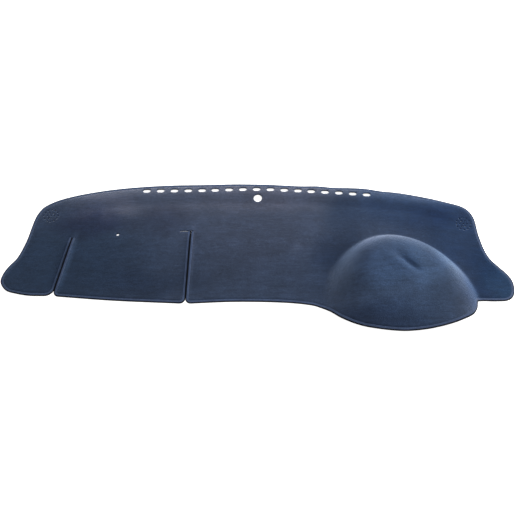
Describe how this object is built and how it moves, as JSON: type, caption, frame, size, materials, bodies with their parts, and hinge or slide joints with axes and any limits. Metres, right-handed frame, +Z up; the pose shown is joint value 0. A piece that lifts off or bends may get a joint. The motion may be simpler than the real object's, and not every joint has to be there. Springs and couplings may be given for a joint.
{
  "type": "dashboard cover mat",
  "caption": "Moulded carpet mat for a car dashboard, with an instrument hood, demister slots, a sensor hole, tweeter holes, a slit airbag flap and a taped edge.",
  "frame": {"origin": "on the surface that the mat lies on, under the middle of its outline", "axes": "+X to the driver's end with the hood, +Y to the windscreen edge with the slots, +Z up"},
  "size_m": [1.4504, 0.524, 0.0971],
  "materials": {
    "carpet": "short-pile navy carpet, matt",
    "edge_tape": "woven navy tape, matt"
  },
  "bodies": {
    "root": {"carpet_panel": "carpet", "edge_binding": "edge_tape", "flap_binding": "edge_tape"}
  },
  "joints": []
}
